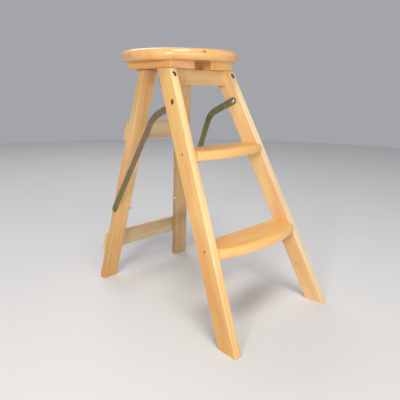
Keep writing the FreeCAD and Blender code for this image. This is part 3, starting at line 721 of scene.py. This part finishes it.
treadScrew = {"places": ((0.220, 0.0225), (0.439, 0.025)), "head": 0.0026}
slatScrew = {"downs": (0.140, 0.460), "slat": 0.048, "depth": 0.033, "head": 0.0034,
             "inset": 0.0215, "offset": 0.012}
cleatScrew = {"places": ((0.0436, -0.060), (0.0709, -0.060), (0.0436, 0.015), (0.0800, 0.015),
                         (0.0334, 0.066)), "head": 0.0030}
hinge = {"pinDrop": 0.003, "plate": 0.0015, "railScrews": (0.014, 0.027, 0.040),
         "cleatScrews": (0.012, 0.022), "frontHead": 0.0024,
         "legScrews": ((-0.012, 0.009), (0.012, 0.009), (0.0, 0.016)), "legHead": 0.0026,
         "rearScrews": (-0.011, 0.011), "rearIn": 0.0054, "rearHead": 0.0016}


# distance down a frame at which a point this deep lies one pin drop under the cleats:
# down = (pin drop + depth sin(lean)) / cos(lean)
def pinDown(sizes, depth):
    lean = math.radians(sizes["lean"])
    return (hinge["pinDrop"] + depth * math.sin(lean)) / math.cos(lean)


# screws through the rails into the treads, through the slats into the legs and through the cleats
# into the seat
def makeWoodScrews(metal):
    heads = [(framePoint(frontFrame, side * frameSide(frontFrame, down), down, depth),
              (side, 0, frontFrame["splay"]))
             for name, side in sides for down, depth in treadScrew["places"]]
    makeScrews("treadScrews", heads, treadScrew["head"], metal, "front_frame")
    out = frameAxes(rearFrame, 0)[2]
    heads = []
    for name, side in sides:
        for top in slatScrew["downs"]:
            for down in (top + slatScrew["offset"], top + slatScrew["slat"] - slatScrew["offset"]):
                x = side * (frameSide(rearFrame, down) - slatScrew["inset"])
                heads.append((framePoint(rearFrame, x, down, slatScrew["depth"]), out))
    makeScrews("slatScrews", heads, slatScrew["head"], metal, "rear_frame")
    heads = [((side * x, seatY + y, underside), (0, 0, -1))
             for name, side in sides for x, y in cleatScrew["places"]]
    makeScrews("cleatScrews", heads, cleatScrew["head"], metal, "seat")
    print("wood screws made")


# screws in the hinge leaves: rows along each rail and leg below its pin, which follow the splay,
# and rows on the cleats beside the pin
def makeLeafScrews(metal):
    out = frameAxes(frontFrame, 0)[2]
    pin = pinDown(frontFrame, -hinge["pinDrop"])
    heads = []
    leaves = []
    for name, side in sides:
        x = side * (frameSide(frontFrame, pin) - frontFrame["wide"] / 2)
        for step in hinge["railScrews"]:
            slope = side * frontFrame["splay"] * step
            heads.append((framePoint(frontFrame, x + slope, pin + step, -hinge["plate"]), -out))
        start = framePoint(frontFrame, x, pin, -hinge["pinDrop"])
        leaves += [((x, start.y + step, underside - hinge["plate"]), (0, 0, -1))
                   for step in hinge["cleatScrews"]]
    makeScrews("railLeafScrews", heads, hinge["frontHead"], metal, "front_frame")
    makeScrews("cleatLeafScrews", leaves, hinge["frontHead"], metal, "seat")

    out = frameAxes(rearFrame, 0)[2]
    deep = rearFrame["deep"] + hinge["pinDrop"]
    pin = pinDown(rearFrame, deep)
    heads = []
    leaves = []
    for name, side in sides:
        x = side * (frameSide(rearFrame, pin) - rearFrame["wide"] / 2)
        for across, step in hinge["legScrews"]:
            slope = side * rearFrame["splay"] * step
            heads.append((framePoint(rearFrame, x + across + slope, pin + step,
                                     rearFrame["deep"] + hinge["plate"]), out))
        start = framePoint(rearFrame, x, pin, deep)
        leaves += [((x + across, start.y + hinge["rearIn"], underside - hinge["plate"]),
                    (0, 0, -1)) for across in hinge["rearScrews"]]
    makeScrews("legLeafScrews", heads, hinge["legHead"], metal, "rear_frame")
    makeScrews("rearLeafScrews", leaves, hinge["rearHead"], metal, "seat")
    print("hinge screws made")


tints = {"middleTread": (0.87, 0.78, 0.68), "lowerTread": (0.94, 0.91, 0.84),
         "rail": {-1: (0.93, 0.875, 0.76), 1: (0.94, 0.98, 1.08)},
         # the rails' paler front faces are painted light
         "railFrontLight": {-1: (0.96, 0.99, 1.12), 1: (0.89, 1.12, 1.68)},
         # the darker tints at the feet are painted shade
         "railFootShade": {-1: (0.85, 0.79, 0.68), 1: (0.96, 1.0, 1.0)},
         # the right leg's darker tint than the left's is painted shade
         "leg": {-1: (0.83, 0.83, 0.85), 1: (0.65, 0.68, 0.77)},
         "legFootShade": {-1: (0.85, 0.76, 0.63), 1: (0.80, 0.78, 0.74)},
         "cleat": {-1: (0.92, 0.76, 0.55), 1: (0.98, 0.86, 0.70)},
         # the cleats' paler front faces are painted light
         "cleatFront": {-1: (0.93, 0.85, 0.95), 1: (1.00, 0.94, 0.84)},
         # the slats' greyer front faces are painted shade
         "slat": (0.86, 0.84, 0.84), "slatFrontShade": (0.65, 0.755, 1.08),
         "apron": (0.83, 0.90, 1.03)}
seeds = {"middleTread": 2, "lowerTread": 7, "rail": 11, "leg": 21, "cleat": 31, "slat": 41,
         "apron": 51}
# the heights between which the painted shade at the feet grows in
uprights = {"footShadeLow": 0.03, "footShadeHigh": 0.26, "faceSoft": 0.0015, "faceLift": 0.0003,
            "railKnots": {-1: (), 1: ((0.548, 0.014, 0.0045, 0.22),)},
            "legKnots": {-1: ((0.330, 0.010, 0.0035, 0.45),), 1: ((0.245, 0.012, 0.003, 0.5),)},
            "legKnotIn": 0.015}
slats = {"plain": 0.6, "faceSoft": 0.0008, "apronPlain": 0.7}


# gives a CAD node a material in all of its slots
def dress(name, material):
    slots = nodes[name].data.materials
    slots.clear()
    slots.append(material)


# knots on an upright from (down, depth, radius, strength); they lie this far in from its outer
# side: x = outer side - inward
def uprightKnots(sizes, side, inward, places):
    return [(*framePoint(sizes, side * (frameSide(sizes, down) - inward), down, depth),
             radius, strength) for down, depth, radius, strength in places]


# rails, legs, cleats, slats and apron in wood with their own grain direction, seed and tint; the
# stays, hinge leaves and pins in metal
def dressFrame(stay, metal):
    railPoint = framePoint(frontFrame, 0, 0, frontFrame["deep"])
    for number, (name, side) in enumerate(sides):
        axes = frameAxes(frontFrame, side)
        inward = frontFrame["wide"] if side > 0 else 0
        # painted light: the rail's front face is paler
        material = makeWood(
            name + "RailWood", axes, seeds["rail"] + number, tints["rail"][side],
            knots=uprightKnots(frontFrame, side, inward, uprights["railKnots"][side]),
            face=faceLightTint(axes[2], railPoint, tints["railFrontLight"][side], uprights["faceSoft"],
                          uprights["faceLift"]),
            foot=(uprights["footShadeLow"], uprights["footShadeHigh"], tints["railFootShade"][side]))
        dress(name + "_front_rail", material)
        # painted shade: the leg's foot, like the rail's, is darker towards the floor
        material = makeWood(
            name + "LegWood", frameAxes(rearFrame, side), seeds["leg"] + number,
            tints["leg"][side],
            knots=uprightKnots(rearFrame, side, uprights["legKnotIn"],
                               uprights["legKnots"][side]),
            foot=(uprights["footShadeLow"], uprights["footShadeHigh"], tints["legFootShade"][side]))
        dress(name + "_rear_leg", material)
        # painted light: the cleat's front face is paler
        face = faceLightTint((0, -1, 0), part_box(name + "_cleat")[0], tints["cleatFront"][side],
                        uprights["faceSoft"], uprights["faceLift"])
        dress(name + "_cleat", makeWood(name + "CleatWood", cleatAxes, seeds["cleat"] + number,
                                        tints["cleat"][side], face=face))
        dress(name + "_stay", stay[side])
        dress(name + "_rail_hinge_leaf", metal)
        dress(name + "_leg_hinge_leaf", metal)
    along, _, out = frameAxes(rearFrame, 0)
    # painted shade: the slats' front faces are greyer
    face = faceLightTint(-out, framePoint(rearFrame, 0, 0, rearFrame["deep"]), tints["slatFrontShade"],
                    slats["faceSoft"])
    for number, name in enumerate(("upper_rear_slat", "lower_rear_slat")):
        dress(name, makeWood(name + "Wood", ((1, 0, 0), along, out), seeds["slat"] + number,
                             tints["slat"], plain=slats["plain"], face=face))
    along, _, out = frameAxes(frontFrame, 0)
    dress("front_apron", makeWood("apronWood", ((1, 0, 0), along, out), seeds["apron"],
                                  tints["apron"], plain=slats["apronPlain"]))
    for name in ("front_cleat_leaves", "rear_cleat_leaves", "front_hinge_pins",
                 "rear_hinge_pins"):
        dress(name, metal)
    print("frame dressed")


makeSeat()
makeTread("middleTread", "middle_tread", seeds["middleTread"], tints["middleTread"])
makeTread("lowerTread", "lower_tread", seeds["lowerTread"], tints["lowerTread"])
# the left stay's brown upper part is a painted reflection; the right stay has the olive paint
stayMetal = {-1: makeMetal("leftStayReflectionSteel", metals["leftStayReflection"]),
             1: makeMetal("rightStaySteel", metals["rightStay"])}
brightMetal = makeMetal("brightSteel", metals["bright"])
darkMetal = makeMetal("darkSteel", metals["dark"])
hingeMetal = makeMetal("hingeSteel", metals["hinge"])
screwMetal = makeMetal("screwSteel", metals["screw"])
makeStuds(brightMetal, stayMetal)
makeNuts(darkMetal, brightMetal)
makeHingeBolts(brightMetal, darkMetal)
makeWoodScrews(screwMetal)
makeLeafScrews(hingeMetal)
dressFrame(stayMetal, hingeMetal)


# Floor, light and camera
stage = {"radius": 3.6, "around": 180, "colour": (0.68, 0.67, 0.66), "roughness": 0.75,
         "noise": {"scale": 3.0, "detail": 3.0}, "cloud": 0.04,
         "world": (0.92, 0.94, 1.0), "worldStrength": 0.40}


# floor: a flat round plate, so that its far edge is level in every view
def makeFloor():
    turn = np.linspace(0, 2 * np.pi, stage["around"], endpoint=False)
    ring = np.stack([np.cos(turn), np.sin(turn), 0 * turn], -1) * stage["radius"]
    mesh = bpy.data.meshes.new("floor")
    mesh.from_pydata(ring.tolist(), [], [list(range(stage["around"]))])
    floor = bpy.data.objects.new("floor", mesh)
    scene.collection.objects.link(floor)
    material, place, fill = newMaterial("floorPaint")
    light = place.noise(stage["noise"]) * stage["cloud"] + (1 - stage["cloud"])
    fill({"Base Color": light * stage["colour"], "Roughness": stage["roughness"]})
    mesh.materials.append(material)


lights = {
    "key": {"place": (-0.62, -0.75, 2.6), "size": (0.9, 0.9), "power": 34,
            "colour": (1.0, 0.98, 0.94)},
    "side": {"place": (-2.18, -1.0, 0.90), "size": (0.42, 0.42), "power": 23,
             "colour": (1.0, 0.98, 0.95)},
    "front": {"place": (-0.8, -2.35, 0.50), "size": (1.6, 0.24), "power": 27,
              "colour": (1.0, 0.98, 0.95)},
    "back": {"place": (0.6, 1.9, 2.6), "size": (1.6, 1.6), "power": 22,
             "colour": (0.95, 0.97, 1.0)},
}
lightAim = Vector((0, 0, 0.35))


# flat lamps that face the stool's middle, and an even sky
def makeLights():
    for name, sizes in lights.items():
        data = bpy.data.lights.new(name, "AREA")
        data.shape = "RECTANGLE"
        data.size, data.size_y = sizes["size"]
        data.energy = sizes["power"]
        data.color = sizes["colour"]
        lamp = bpy.data.objects.new(name, data)
        lamp.location = sizes["place"]
        way = lightAim - Vector(sizes["place"])
        lamp.rotation_euler = way.to_track_quat("-Z", "Y").to_euler()
        scene.collection.objects.link(lamp)
    world = bpy.data.worlds.new("studio")
    world.use_nodes = True
    background = world.node_tree.nodes["Background"]
    background.inputs["Color"].default_value = (*stage["world"], 1)
    background.inputs["Strength"].default_value = stage["worldStrength"]
    scene.world = world


# the place is measured from the seat's middle in depth
camera = {"place": (-0.7689, -0.8507, 0.5317), "azimuth": -44.8, "pitch": -14.54, "roll": 0.61,
          "focal": 428.9, "frameWidth": 400, "sensor": 36}


# camera: looks along (-sin az cos pitch, cos az cos pitch, sin pitch), turned by its roll;
# lens = focal length in pixels * sensor / frame width
def makeCamera():
    azimuth, pitch, roll = (math.radians(camera[key]) for key in ("azimuth", "pitch", "roll"))
    look = Vector((-math.sin(azimuth) * math.cos(pitch), math.cos(azimuth) * math.cos(pitch),
                   math.sin(pitch)))
    right = Vector((math.cos(azimuth), math.sin(azimuth), 0))
    up = right.cross(look)
    turned = right * math.cos(roll) + up * math.sin(roll)
    upright = up * math.cos(roll) - right * math.sin(roll)
    data = bpy.data.cameras.new("camera")
    data.sensor_width = camera["sensor"]
    data.lens = camera["focal"] * camera["sensor"] / camera["frameWidth"]
    eye = bpy.data.objects.new("camera", data)
    scene.collection.objects.link(eye)
    x, y, z = camera["place"]
    matrix = Matrix((turned, upright, -look)).transposed().to_4x4()
    matrix.translation = Vector((x, y + seatY, z))
    eye.matrix_world = matrix
    scene.camera = eye


makeFloor()
makeLights()
makeCamera()
scene.view_settings.view_transform = "Standard"
print("stage made")
